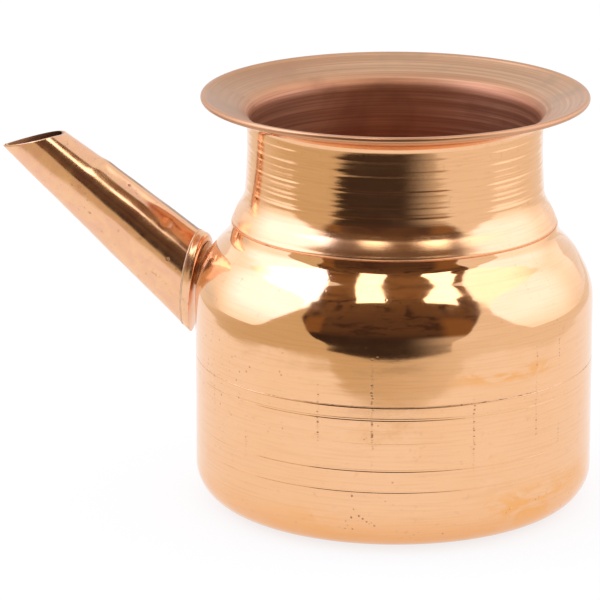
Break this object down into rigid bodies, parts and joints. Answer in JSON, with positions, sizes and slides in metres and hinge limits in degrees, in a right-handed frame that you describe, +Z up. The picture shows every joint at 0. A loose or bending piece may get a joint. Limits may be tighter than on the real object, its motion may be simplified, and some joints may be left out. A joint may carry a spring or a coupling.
{
  "type": "spouted water pot",
  "caption": "Round copper water pot with a straight wall, rounded shoulder, banded neck, wide flared mouth and a long conical pouring spout.",
  "frame": {"origin": "centre of the flat base, on the surface the pot stands on", "axes": "+Z up along the pot's axis, the spout points along -X"},
  "size_m": [0.1543, 0.1006, 0.1041],
  "materials": {
    "polished_copper": "mirror-polished copper sheet",
    "turned_copper": "polished copper with fine turned rings",
    "spout_copper": "hand-worked polished copper sheet",
    "braze": "dull pitted brazing metal"
  },
  "bodies": {
    "root": {"lower_cup": "polished_copper", "shoulder_shell": "polished_copper", "neck_and_mouth": "turned_copper", "body_seam_braze": "braze", "neck_seam_braze": "braze", "spout_tube": "spout_copper", "spout_seam_braze": "braze", "spout_end_cap": "spout_copper", "spout_cap_braze": "braze", "spout_collar": "spout_copper", "collar_braze": "braze"}
  },
  "joints": []
}
